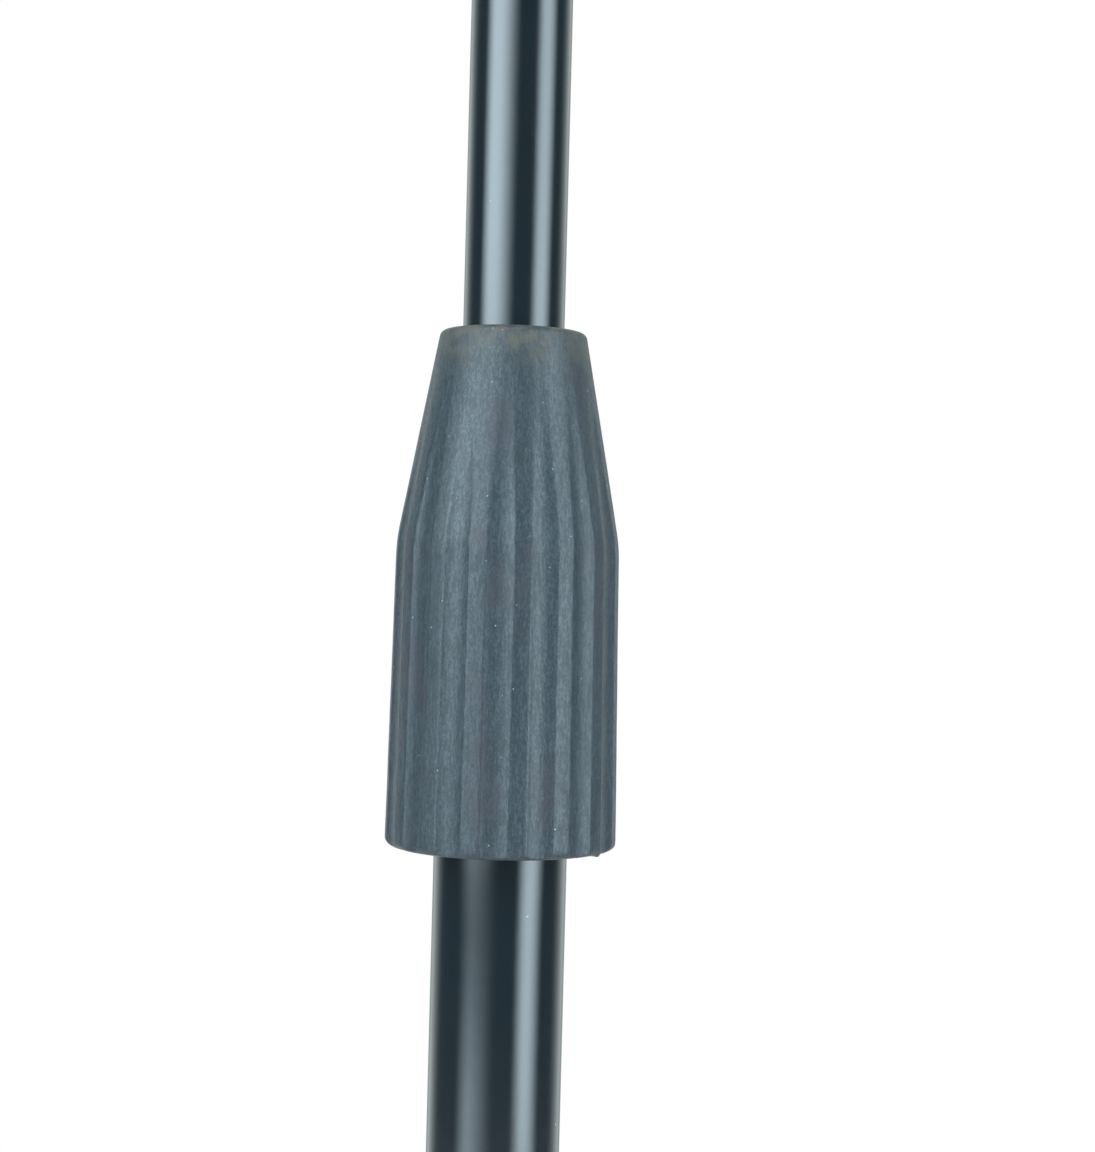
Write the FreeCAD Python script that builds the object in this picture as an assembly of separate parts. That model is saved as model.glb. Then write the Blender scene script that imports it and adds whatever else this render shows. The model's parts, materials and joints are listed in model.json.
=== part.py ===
"""Orchestra music stand: a steel desk on a telescopic column with a twist clutch, over a folding tripod.

Millimetres and degrees. +Z is up, the player stands on the -Y side, and the origin is on the floor
under the column. Every function below makes one kind of piece, and main() writes one STEP per piece.
"""

import FreeCAD
import Part
import math
import os
from FreeCAD import Vector

# Fits
RUNNING = 0.06  # radial clearance of a pin or bolt that turns in its hole
SLIDING = 0.3  # radial clearance of a piece that slides on a painted tube
FACE_GAP = 0.3  # gap between flat faces of pieces that turn or slide past each other

# Column tubes
UPPER_TUBE_R = 9.5
UPPER_TUBE_WALL = 1.2
UPPER_TUBE_LENGTH = 680.0
LOWER_TUBE_WALL = 1.5
LOWER_TUBE_LENGTH = 625.0
GUIDE_GAP = 1.5  # annular space between the two tubes, filled by the guide ring
LOWER_TUBE_BORE_R = UPPER_TUBE_R + GUIDE_GAP
LOWER_TUBE_R = LOWER_TUBE_BORE_R + LOWER_TUBE_WALL
UPPER_TUBE_HIDDEN = 315.0  # length of upper tube inside the lower tube, at rest

# Guide at the foot of the upper tube
PLUG_FLANGE = 4.0
PLUG_DEPTH = 20.0
GUIDE_RING_HEIGHT = 12.0
STOP_SLEEVE_LENGTH = 45.0
STOP_SLEEVE_WALL = 1.2
PLUG_CHAMFER = 1.0

# Tripod
LEG_LENGTH = 300.0  # collar pivot to the end of the steel
LEG_SLOPE = 30.0  # below the horizontal, when the stand is open
LEG_WIDTH = 15.0
LEG_WALL = 1.5
LEG_BELOW = 5.0  # channel depth on the open side of the pivot line
LEG_ABOVE = 11.0  # channel depth on the closed side
LEG_END = 6.0  # steel beyond the pivot
LEG_CORNER_R = 2.4
BRACE_WALL = 1.2
BRACE_SIDE_GAP = 0.5  # between brace and leg channel, each side
BRACE_BELOW = 7.0  # depth on the closed side, which faces down
BRACE_ABOVE = 5.0
BRACE_END = 5.0
BRACE_CORNER_R = 1.8
PIVOT_PIN_R = 2.5
RIVET_HEAD_R = 4.4
RIVET_HEAD_H = 1.9
LEG_AZIMUTHS = {"back": 90.0, "left": 210.0, "right": 330.0}

# Feet
FOOT_SOLE = 4.0  # rubber under the lowest corner of the steel
FOOT_LENGTH = 32.0
FOOT_WALL = 2.2
FOOT_END = 6.0
FOOT_HEEL = 9.0  # depth below the channel, where the sole meets the floor
FOOT_HEEL_START = 14.0  # from the end of the steel
FOOT_FILLET = 2.0

# Sliding collar and fixed hub
COLLAR_WALL = 6.2
COLLAR_BELOW = 14.0  # sleeve below the leg pivots
COLLAR_ABOVE = 30.0
COLLAR_FILLET = 2.0
COLLAR_LUG_R = 6.5
PIVOT_STANDOFF = 8.0  # pivot line outside the sleeve
HUB_FLOOR_GAP = 12.0
HUB_BELOW = 14.0
HUB_ABOVE = 16.0
HUB_LUG_R = 5.2
HUB_TUBE_SEAT = 8.0  # foot of the lower tube below the brace pivots
HUB_SCREW_R = 3.0
HUB_SCREW_HEAD_R = 5.8
HUB_SCREW_HEAD_H = 3.4
HUB_SCREW_EDGE_R = 0.8
HUB_SCREW_SLOT = 1.6
HUB_SCREW_SHORT = 2.0  # from the screw's tip to the top of the foot plug
FOOT_PLUG_HEIGHT = 18.0

# Clamp screw of the collar
KNOB_BOSS_R = 9.5
KNOB_BOSS_OUT = 11.0  # boss beyond the sleeve
KNOB_BOSS_FILLET = 1.2
KNOB_HEIGHT = 15.0  # screw axis above the leg pivots
CLAMP_STUD_R = 4.0
STUD_IN_KNOB = 12.0
STUD_CHAMFER = 0.8
INSERT_WALL = 2.4
INSERT_SHORT = 4.0  # from the brass insert to the pad
CLAMP_PAD_R = 5.5
CLAMP_PAD_THICK = 2.6
KNOB_R = 18.0
KNOB_THICK = 15.0
KNOB_LOBES = 5
KNOB_SCALLOP_R = 9.0
KNOB_SCALLOP_DEPTH = 4.2
KNOB_NECK_R = 9.0
KNOB_NECK = 5.0
KNOB_FILLET = 2.6

# Twist clutch
GRIP_HEIGHT = 96.1
GRIP_CONE = 39.4  # height of the cone above the shoulder
FLUTE_RUN_OUT = 14.2  # from the end of the flutes to the upper rim
NUT_BELOW_RIM = 3.2  # from the nut to the grip's upper rim
NUT_BELOW_SHOULDER = 2.0
NUT_WALL_UNDER_MOUTH = 5.0  # from the nut's top down to the cone inside it
NUT_RELIEF = 1.0  # cylindrical bore between the nut's cone and its thread
NUT_THREAD_START = 2.0  # above the lower tube's end
COLLET_BELOW_NUT = 6.0
COLLET_LENGTH = 26.0
THREAD_LENGTH = 24.0
SKIRT_WALL = 3.0
SKIRT_LOW = 5.0  # above the grip's lower rim
THREAD_WALL = 2.0  # thread crest outside the lower tube's radius
THREAD_PITCH = 3.0
THREAD_DEPTH = 0.8
THREAD_FLANK = 1.0  # half width of a groove, and how far its cutter runs past the crest
THREAD_CLEARANCE = 0.08
NUT_CLEARANCE = 0.4
NUT_WALL = 2.1
NUT_LOW = 3.0  # above the grip's lower rim
NUT_TOP_WALL = 2.7  # at the nose, outside the upper tube
COLLET_FLANGE = 3.0
COLLET_NOSE_WALL = 1.5
COLLET_ROOT_WALL = 3.6
COLLET_SLOTS = 4
COLLET_SLOT_WIDTH = 1.5
CONE_CLEARANCE = 0.35
GRIP_RUBBER = 3.3  # rubber around the nut at the lower rim
GRIP_TAPER = 0.83  # radius lost from the lower rim to the shoulder
GRIP_TOP_WALL = 4.1  # outside the upper tube, at the upper rim
GRIP_MOUTH_GAP = 0.7
GRIP_RIM_FILLET = 1.4
GRIP_SHOULDER_FILLET = 34.0
FLUTES = 16
FLUTE_R = 6.8
FLUTE_DEPTH = 0.64
FLUTE_RUN_ON = 20.0  # how far a flute's cutter runs past its ends
FLUTE_PHASE = 20.0  # degrees from the -Y direction to a flute, towards +X

# Tilting head
HEAD_SOCKET = 38.0
HEAD_WALL = 3.5
HEAD_CAP = 4.0
HEAD_PIVOT_RISE = 26.0
HEAD_TONGUE = 12.0
HEAD_TONGUE_R = 14.0
HEAD_FILLET = 1.2
TILT_BOLT_R = 4.0
SET_SCREW_R = 2.5
SET_SCREW_PROUD = 0.4
SET_SCREW_KEY_R = 1.3
SET_SCREW_KEY_DEPTH = 2.0
TILT_WASHER_R = 10.5
TILT_WASHER = 1.5
BRACKET_SHEET = 2.5
BRACKET_WIDTH = 90.0
BRACKET_HEIGHT = 80.0
BRACKET_CORNER_R = 8.0
BOLT_HEAD_R = 8.0
BOLT_HEAD_H = 4.2
FLAT_WASHER_R = 8.2
FLAT_WASHER = 1.4
BOLT_IN_KNOB = 11.5

# Desk, measured from the tilt pivot up and down its slope
DESK_TILT = 20.0  # back from the vertical, at rest
DESK_WIDTH = 500.0
DESK_DOWN = 140.0
DESK_UP = 190.0
DESK_SHEET = 1.2
DESK_FLANGE = 9.0
DESK_CORNER_R = 22.0
DESK_EDGE_R = 2.4
DESK_CLEARANCE = 5.5  # between the desk's flange and the grip, when low and upright
HOLE_R = 6.0
HOLE_PITCH_X = 46.0
HOLE_PITCH_Z = 48.0
HOLE_MARGIN = 34.0  # from a desk edge to the outer hole centres
HOLE_CLEAR = 6.0  # from a hole's edge to the bracket
DESK_BOLT_R = 3.0
DESK_BOLT_HEAD_R = 7.0
DESK_BOLT_HEAD_H = 2.4
DESK_BOLT_INSET = 14.0  # from the bracket's edges
DESK_NUT_R = 5.8
DESK_NUT_H = 4.6
DESK_BOLT_PAST_NUT = 1.0

# Ledge that carries the music
LEDGE_DEPTH = 56.0
LEDGE_LIP = 17.0
LEDGE_FLANGE = 20.0
LEDGE_SIDE_GAP = 1.0
LEDGE_BEND_R = 1.6
LEDGE_BEAD_R = 2.0
LEDGE_END_R = 7.0
LEDGE_RIVETS = 5
LEDGE_RIVET_R = 2.0
LEDGE_RIVET_HEAD_R = 3.8
LEDGE_RIVET_HEAD_H = 1.3

# Heights and radii that follow from the sizes above
SLOPE_SIN = math.sin(math.radians(LEG_SLOPE))
SLOPE_COS = math.cos(math.radians(LEG_SLOPE))
COLLAR_BORE_R = LOWER_TUBE_R + SLIDING
COLLAR_R = COLLAR_BORE_R + COLLAR_WALL
PIVOT_RADIUS = COLLAR_R + PIVOT_STANDOFF
COLLAR_PIVOT_Z = FOOT_SOLE + LEG_LENGTH * SLOPE_SIN + LEG_BELOW * SLOPE_COS
HUB_PIVOT_Z = HUB_FLOOR_GAP + HUB_BELOW
BRACE_LENGTH = (COLLAR_PIVOT_Z - HUB_PIVOT_Z) / (2 * SLOPE_SIN)
BRACE_WIDTH = LEG_WIDTH - 2 * (LEG_WALL + BRACE_SIDE_GAP)
COLLAR_LUG = LEG_WIDTH - 2 * (LEG_WALL + FACE_GAP)
HUB_LUG = BRACE_WIDTH - 2 * (BRACE_WALL + FACE_GAP)
LOWER_TUBE_Z = HUB_PIVOT_Z - HUB_TUBE_SEAT
LOWER_TUBE_TOP = LOWER_TUBE_Z + LOWER_TUBE_LENGTH
# Heights inside the clutch are from the grip's lower rim.
GRIP_SHOULDER = GRIP_HEIGHT - GRIP_CONE
FLUTE_TOP = GRIP_HEIGHT - FLUTE_RUN_OUT
NUT_TOP = GRIP_HEIGHT - NUT_BELOW_RIM
COLLET_TOP = NUT_TOP - COLLET_BELOW_NUT
THREAD_TOP = COLLET_TOP - COLLET_LENGTH
TUBE_IN_GRIP = THREAD_TOP - THREAD_LENGTH
GRIP_Z = LOWER_TUBE_TOP - TUBE_IN_GRIP
SKIRT_R = LOWER_TUBE_R + SKIRT_WALL
THREAD_R = LOWER_TUBE_R + THREAD_WALL
NUT_BORE_R = SKIRT_R + NUT_CLEARANCE
NUT_R = NUT_BORE_R + NUT_WALL
NUT_TOP_R = UPPER_TUBE_R + NUT_TOP_WALL
GRIP_BOTTOM_R = NUT_R + GRIP_RUBBER + NUT_CLEARANCE
GRIP_SHOULDER_R = GRIP_BOTTOM_R - GRIP_TAPER
GRIP_TOP_R = UPPER_TUBE_R + GRIP_TOP_WALL
UPPER_TUBE_Z = LOWER_TUBE_TOP - UPPER_TUBE_HIDDEN
UPPER_TUBE_TOP = UPPER_TUBE_Z + UPPER_TUBE_LENGTH
HEAD_R = UPPER_TUBE_R + HEAD_WALL
TILT_PIVOT_Z = UPPER_TUBE_TOP + HEAD_PIVOT_RISE
EAR_INNER_X = HEAD_TONGUE / 2 + FACE_GAP + TILT_WASHER
EAR_OUTER_X = EAR_INNER_X + BRACKET_SHEET
KNOB_INSERT_R = TILT_BOLT_R + INSERT_WALL
DESK_BACK = GRIP_BOTTOM_R + DESK_CLEARANCE + DESK_FLANGE  # pivot to the back of the desk's sheet
DESK_FRONT = DESK_BACK + DESK_SHEET

X_AXIS = Vector(1, 0, 0)
Y_AXIS = Vector(0, 1, 0)
Z_AXIS = Vector(0, 0, 1)
ORIGIN = Vector(0, 0, 0)


# Shapes used by several pieces


def box(low, high):
    """Box between two corners."""
    size = [b - a for a, b in zip(low, high)]
    return Part.makeBox(*size, Vector(*low))


def rod(radius, start, direction, length):
    return Part.makeCylinder(radius, length, start, direction)


def ring(outer_r, inner_r, low, high):
    """Plain sleeve on the column's axis."""
    start = Vector(0, 0, low)
    return rod(outer_r, start, Z_AXIS, high - low).cut(rod(inner_r, start, Z_AXIS, high - low))


def turned(profile):
    """Solid of revolution about the column's axis, from (radius, height) corners."""
    corners = [Vector(r, 0, z) for r, z in profile]
    return Part.Face(Part.makePolygon(corners + corners[:1])).revolve(ORIGIN, Z_AXIS, 360)


def joined(shapes):
    """One solid from overlapping shapes, without seams between coplanar faces."""
    return shapes[0].multiFuse(shapes[1:]).removeSplitter()


def edges_at(shape, **near):
    """Edges whose whole length lies at the given x, y or z, to 0.01 mm."""
    found = []
    for edge in shape.Edges:
        b = edge.BoundBox
        span = {"x": (b.XMin, b.XMax), "y": (b.YMin, b.YMax), "z": (b.ZMin, b.ZMax)}
        if all(abs(end - value) < 0.01 for axis, value in near.items() for end in span[axis]):
            found.append(edge)
    return found


def around(shape, azimuth):
    """Copy turned about the column's axis, from the +X direction."""
    return shape.rotated(ORIGIN, Z_AXIS, azimuth)


def dome(radius, height, centre, direction):
    """Domed rivet or bolt head on a plane through centre."""
    sphere_r = (radius**2 + height**2) / (2 * height)
    latitude = math.degrees(math.asin((sphere_r - height) / sphere_r))
    return Part.makeSphere(sphere_r, centre - direction * (sphere_r - height), direction, latitude, 90)


def lobed_knob(start, direction):
    """Scalloped hand knob with a neck, its back on a plane through start."""
    neck = rod(KNOB_NECK_R, ORIGIN, Z_AXIS, KNOB_NECK)
    disc = rod(KNOB_R, Vector(0, 0, KNOB_NECK), Z_AXIS, KNOB_THICK - KNOB_NECK)
    for z in (KNOB_NECK, KNOB_THICK):
        disc = disc.makeFillet(KNOB_FILLET, edges_at(disc, z=z))
    reach = KNOB_R - KNOB_SCALLOP_DEPTH + KNOB_SCALLOP_R
    scallop = rod(KNOB_SCALLOP_R, Vector(reach, 0, 0), Z_AXIS, KNOB_THICK)
    for i in range(KNOB_LOBES):
        disc = disc.cut(around(scallop, 360 * i / KNOB_LOBES))
    knob = joined([neck, disc])
    knob.Placement = FreeCAD.Placement(start, FreeCAD.Rotation(Z_AXIS, direction))
    return knob


# Tripod


def leg_frame(shape):
    """Puts a piece drawn along +X from the collar pivot in place, for the leg along +X."""
    placed = shape.rotated(ORIGIN, Y_AXIS, LEG_SLOPE)
    return placed.translated(Vector(PIVOT_RADIUS, 0, COLLAR_PIVOT_Z))


def brace_frame(shape):
    """Puts a piece drawn along +X from the hub pivot in place, for the leg along +X."""
    placed = shape.rotated(ORIGIN, Y_AXIS, -LEG_SLOPE)
    return placed.translated(Vector(PIVOT_RADIUS, 0, HUB_PIVOT_Z))


def cross_hole(radius, x, width):
    """Pin-sized cylinder across a channel."""
    return rod(radius, Vector(x, -width, 0), Y_AXIS, 2 * width)


def channel(start, end, low, high, width, wall, corner_r, web_high):
    """U channel along X with rounded web corners and ends, open on the side away from its web."""
    half = width / 2
    solid = box((start, -half, low), (end, half, high))
    web_z = high if web_high else low
    open_z = low if web_high else high
    solid = solid.makeFillet(corner_r, edges_at(solid, y=half, z=web_z) + edges_at(solid, y=-half, z=web_z))
    inner_z = web_z - wall if web_high else web_z + wall
    inside = sorted((inner_z, open_z + (-wall if web_high else wall)))
    hollow = box((start - wall, -half + wall, inside[0]), (end + wall, half - wall, inside[1]))
    inner_r = corner_r - wall
    inner_edges = edges_at(hollow, y=half - wall, z=inner_z) + edges_at(hollow, y=wall - half, z=inner_z)
    return solid.cut(hollow.makeFillet(inner_r, inner_edges))


def end_trim(x, sign, radius, reach):
    """What rounding a channel's end to a radius about the pivot at x takes away."""
    block = box((0, -reach, -reach), (reach, reach, reach))
    if sign < 0:
        block = box((-reach, -reach, -reach), (0, reach, reach))
    keep = rod(radius, Vector(0, -reach, 0), Y_AXIS, 2 * reach)
    return block.cut(keep).translated(Vector(x, 0, 0))


def leg():
    steel = channel(-LEG_ABOVE, LEG_LENGTH, -LEG_BELOW, LEG_ABOVE, LEG_WIDTH, LEG_WALL, LEG_CORNER_R, True)
    # The end is cut square at LEG_END, and its two corners are rounded clear of the collar.
    steel = steel.cut(box((-2 * LEG_ABOVE, -LEG_WIDTH, -LEG_ABOVE), (-LEG_END, LEG_WIDTH, 2 * LEG_ABOVE)))
    under = box((-2 * LEG_END, -LEG_WIDTH, -2 * LEG_END), (0, LEG_WIDTH, 0))
    steel = steel.cut(under.cut(rod(LEG_END, Vector(0, -LEG_WIDTH, 0), Y_AXIS, 2 * LEG_WIDTH)))
    over_z = LEG_ABOVE - LEG_END
    over = box((-2 * LEG_END, -LEG_WIDTH, over_z), (0, LEG_WIDTH, LEG_ABOVE + LEG_END))
    steel = steel.cut(over.cut(rod(LEG_END, Vector(0, -LEG_WIDTH, over_z), Y_AXIS, 2 * LEG_WIDTH)))
    steel = steel.cut(cross_hole(PIVOT_PIN_R + RUNNING, 0, LEG_WIDTH))
    return steel.cut(cross_hole(PIVOT_PIN_R, BRACE_LENGTH, LEG_WIDTH))


def brace():
    steel = channel(
        -2 * BRACE_BELOW,
        BRACE_LENGTH + 2 * BRACE_BELOW,
        -BRACE_BELOW,
        BRACE_ABOVE,
        BRACE_WIDTH,
        BRACE_WALL,
        BRACE_CORNER_R,
        False,
    )
    end_r = math.hypot(BRACE_END, BRACE_ABOVE)
    reach = 3 * BRACE_BELOW
    steel = steel.cut(end_trim(0, -1, end_r, reach)).cut(end_trim(BRACE_LENGTH, 1, end_r, reach))
    for x in (0, BRACE_LENGTH):
        steel = steel.cut(cross_hole(PIVOT_PIN_R + RUNNING, x, BRACE_WIDTH))
    return steel


def cross_rivet(x, gap):
    """Rivet across a leg channel, with a domed head at a gap from each side."""
    half = LEG_WIDTH / 2 + gap
    shank = rod(PIVOT_PIN_R, Vector(x, -half, 0), Y_AXIS, 2 * half)
    heads = [
        dome(RIVET_HEAD_R, RIVET_HEAD_H, Vector(x, side * half, 0), Y_AXIS * side) for side in (-1, 1)
    ]
    return joined([shank] + heads)


def foot():
    """Rubber boot over the end of a leg, with a sole that is flat on the floor."""
    half = LEG_WIDTH / 2 + FOOT_WALL
    start = LEG_LENGTH - FOOT_LENGTH + FOOT_END
    end = LEG_LENGTH + FOOT_END
    top = LEG_ABOVE + FOOT_WALL
    side = [
        (start, -LEG_BELOW - FOOT_WALL),
        (start, top),
        (end, top),
        (end, -LEG_BELOW - FOOT_HEEL),
        (LEG_LENGTH - FOOT_END, -LEG_BELOW - FOOT_HEEL),
        (LEG_LENGTH - FOOT_HEEL_START, -LEG_BELOW - FOOT_WALL),
    ]
    corners = [Vector(x, -half, z) for x, z in side]
    boot = Part.Face(Part.makePolygon(corners + corners[:1])).extrude(Vector(0, 2 * half, 0))
    top_edges = edges_at(boot, y=half, z=top) + edges_at(boot, y=-half, z=top) + edges_at(boot, x=end)
    boot = boot.makeFillet(FOOT_FILLET, top_edges)
    boot = leg_frame(boot.cut(leg()))
    reach = PIVOT_RADIUS + LEG_LENGTH + FOOT_LENGTH
    return boot.cut(box((0, -reach, -reach), (reach, reach, 0)))


def lug(width, radius, height):
    """Pivot lug from the column's axis out to the pivot line, along +X."""
    arm = box((0, -width / 2, height - radius), (PIVOT_RADIUS, width / 2, height + radius))
    nose = rod(radius, Vector(PIVOT_RADIUS, -width / 2, height), Y_AXIS, width)
    pin = rod(PIVOT_PIN_R, Vector(PIVOT_RADIUS, -width, height), Y_AXIS, 2 * width)
    return joined([arm, nose]).cut(pin)


def hub():
    low, high = HUB_PIVOT_Z - HUB_BELOW, HUB_PIVOT_Z + HUB_ABOVE
    sleeve = rod(COLLAR_R, Vector(0, 0, low), Z_AXIS, high - low)
    for z in (low, high):
        sleeve = sleeve.makeFillet(COLLAR_FILLET, edges_at(sleeve, z=z))
    lugs = [around(lug(HUB_LUG, HUB_LUG_R, HUB_PIVOT_Z), a) for a in LEG_AZIMUTHS.values()]
    body = joined([sleeve] + lugs)
    body = body.cut(rod(LOWER_TUBE_R, Vector(0, 0, LOWER_TUBE_Z), Z_AXIS, LOWER_TUBE_LENGTH))
    body = body.cut(rod(HUB_SCREW_R, Vector(0, 0, low), Z_AXIS, high - low))
    return body.cut(rod(HUB_SCREW_HEAD_R, Vector(0, 0, low), Z_AXIS, HUB_SCREW_HEAD_H))


def hub_screw():
    low = HUB_PIVOT_Z - HUB_BELOW
    head = rod(HUB_SCREW_HEAD_R, Vector(0, 0, low), Z_AXIS, HUB_SCREW_HEAD_H)
    middle = low + HUB_SCREW_HEAD_H / 2
    head = head.makeFillet(HUB_SCREW_EDGE_R, edges_at(head, z=low))
    half = HUB_SCREW_SLOT / 2
    slot = box((-HUB_SCREW_HEAD_R, -half, low), (HUB_SCREW_HEAD_R, half, middle))
    length = LOWER_TUBE_Z + FOOT_PLUG_HEIGHT - HUB_SCREW_SHORT - low
    return joined([head.cut(slot), rod(HUB_SCREW_R, Vector(0, 0, middle), Z_AXIS, length)])


def foot_plug():
    """Nylon plug in the foot of the lower tube, which the hub screw bites."""
    plug = rod(LOWER_TUBE_BORE_R, Vector(0, 0, LOWER_TUBE_Z), Z_AXIS, FOOT_PLUG_HEIGHT)
    return plug.cut(hub_screw())


def hub_pins():
    """Flush spring pins, because the open side of a folded leg passes over them."""
    start = Vector(PIVOT_RADIUS, -BRACE_WIDTH / 2, HUB_PIVOT_Z)
    pin = rod(PIVOT_PIN_R, start, Y_AXIS, BRACE_WIDTH)
    return Part.makeCompound([around(pin, a) for a in LEG_AZIMUTHS.values()])


def clamp_start():
    """Outer face of the clamp boss, on the screw's axis."""
    return Vector(0, -(COLLAR_R + KNOB_BOSS_OUT), COLLAR_PIVOT_Z + KNOB_HEIGHT)


def insert_length():
    return COLLAR_R + KNOB_BOSS_OUT - COLLAR_BORE_R - CLAMP_PAD_THICK - INSERT_SHORT


def collar():
    low, high = COLLAR_PIVOT_Z - COLLAR_BELOW, COLLAR_PIVOT_Z + COLLAR_ABOVE
    sleeve = rod(COLLAR_R, Vector(0, 0, low), Z_AXIS, high - low)
    for z in (low, high):
        sleeve = sleeve.makeFillet(COLLAR_FILLET, edges_at(sleeve, z=z))
    lugs = [around(lug(COLLAR_LUG, COLLAR_LUG_R, COLLAR_PIVOT_Z), a) for a in LEG_AZIMUTHS.values()]
    face = clamp_start()
    boss = rod(KNOB_BOSS_R, face, Y_AXIS, -face.y)
    boss = boss.makeFillet(KNOB_BOSS_FILLET, edges_at(boss, y=face.y))
    body = joined([sleeve, boss] + lugs)
    body = body.cut(rod(COLLAR_BORE_R, Vector(0, 0, low), Z_AXIS, high - low))
    body = body.cut(rod(CLAMP_STUD_R + INSERT_WALL, face, Y_AXIS, insert_length()))
    return body.cut(rod(CLAMP_PAD_R, face, Y_AXIS, -face.y - UPPER_TUBE_R))


def collar_insert():
    """Knurled brass insert, with its thread drawn as a plain bore."""
    face = clamp_start()
    body = rod(CLAMP_STUD_R + INSERT_WALL, face, Y_AXIS, insert_length())
    return body.cut(rod(CLAMP_STUD_R + RUNNING, face, Y_AXIS, insert_length()))


def clamp_pad():
    """Nylon pad between the screw and the tube, hollowed to the tube's radius."""
    start = Vector(0, -COLLAR_BORE_R - CLAMP_PAD_THICK, COLLAR_PIVOT_Z + KNOB_HEIGHT)
    pad = rod(CLAMP_PAD_R, start, Y_AXIS, CLAMP_PAD_THICK + COLLAR_BORE_R - UPPER_TUBE_R)
    reach = 2 * CLAMP_PAD_R
    bore = rod(COLLAR_BORE_R, Vector(0, 0, start.z - reach), Z_AXIS, 2 * reach)
    return pad.cut(bore)


def clamp_stud():
    face = clamp_start()
    inner = -COLLAR_BORE_R - CLAMP_PAD_THICK - FACE_GAP
    outer = face.y - FACE_GAP - STUD_IN_KNOB
    stud = rod(CLAMP_STUD_R, Vector(0, outer, face.z), Y_AXIS, inner - outer)
    return stud.makeChamfer(STUD_CHAMFER, edges_at(stud, y=inner))


def clamp_knob():
    return lobed_knob(clamp_start() - Y_AXIS * FACE_GAP, -Y_AXIS).cut(clamp_stud())


# Column


def lower_tube():
    return ring(LOWER_TUBE_R, LOWER_TUBE_BORE_R, LOWER_TUBE_Z, LOWER_TUBE_TOP)


def upper_tube():
    return ring(UPPER_TUBE_R, UPPER_TUBE_R - UPPER_TUBE_WALL, UPPER_TUBE_Z, UPPER_TUBE_TOP)


def end_plug():
    """Nylon plug in the foot of the upper tube, with a flange that holds the guide ring."""
    bore_r = UPPER_TUBE_R - UPPER_TUBE_WALL
    flange_r = LOWER_TUBE_BORE_R - SLIDING
    low = UPPER_TUBE_Z - PLUG_FLANGE
    flange = rod(flange_r, Vector(0, 0, low), Z_AXIS, PLUG_FLANGE)
    flange = flange.makeChamfer(PLUG_CHAMFER, edges_at(flange, z=low))
    return joined([flange, rod(bore_r, Vector(0, 0, low), Z_AXIS, PLUG_FLANGE + PLUG_DEPTH)])


def guide_ring():
    low = UPPER_TUBE_Z + FACE_GAP
    return ring(LOWER_TUBE_BORE_R - RUNNING, UPPER_TUBE_R + RUNNING, low, low + GUIDE_RING_HEIGHT)


def stop_sleeve():
    """Sleeve on the upper tube, which meets the clutch body when the column is fully out."""
    low = UPPER_TUBE_Z + GUIDE_RING_HEIGHT + 2 * FACE_GAP
    return ring(UPPER_TUBE_R + STOP_SLEEVE_WALL, UPPER_TUBE_R, low, low + STOP_SLEEVE_LENGTH)


# Twist clutch


def clutch_body():
    """Skirt pressed over the lower tube, and the threaded barrel above it."""
    top, low = TUBE_IN_GRIP, SKIRT_LOW
    body = turned(
        [
            (LOWER_TUBE_R, low),
            (SKIRT_R, low),
            (SKIRT_R, top),
            (THREAD_R, top),
            (THREAD_R, THREAD_TOP),
            (UPPER_TUBE_R + SLIDING, THREAD_TOP),
            (UPPER_TUBE_R + SLIDING, top),
            (LOWER_TUBE_R, top),
        ]
    )
    turns = int((THREAD_LENGTH - THREAD_PITCH) / THREAD_PITCH)
    root, past = THREAD_R - THREAD_DEPTH, THREAD_R + THREAD_FLANK
    for i in range(turns):
        z = top + THREAD_PITCH * (i + 1)
        body = body.cut(turned([(root, z), (past, z - THREAD_FLANK), (past, z + THREAD_FLANK)]))
    return body.translated(Vector(0, 0, GRIP_Z))


def collet_profile():
    root = THREAD_TOP + COLLET_FLANGE
    return [
        (UPPER_TUBE_R + COLLET_ROOT_WALL, root),
        (UPPER_TUBE_R + COLLET_NOSE_WALL, COLLET_TOP),
    ]


def collet():
    """Split nylon cone that the nut closes on the upper tube."""
    bore_r = UPPER_TUBE_R + RUNNING
    foot_corners = [(UPPER_TUBE_R + COLLET_ROOT_WALL, THREAD_TOP)]
    body = turned([(bore_r, THREAD_TOP)] + foot_corners + collet_profile() + [(bore_r, COLLET_TOP)])
    slot_low = THREAD_TOP + 2 * COLLET_FLANGE
    half = COLLET_SLOT_WIDTH / 2
    slot = box((0, -half, slot_low), (2 * UPPER_TUBE_R, half, COLLET_TOP))
    for i in range(COLLET_SLOTS):
        body = body.cut(around(slot, 360 * i / COLLET_SLOTS))
    return body.translated(Vector(0, 0, GRIP_Z))


def nut_outline():
    """Outside of the nut, where the rubber grip is moulded on to it."""
    return [(NUT_R, NUT_LOW), (NUT_R, GRIP_SHOULDER - NUT_BELOW_SHOULDER), (NUT_TOP_R, NUT_TOP)]


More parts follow.
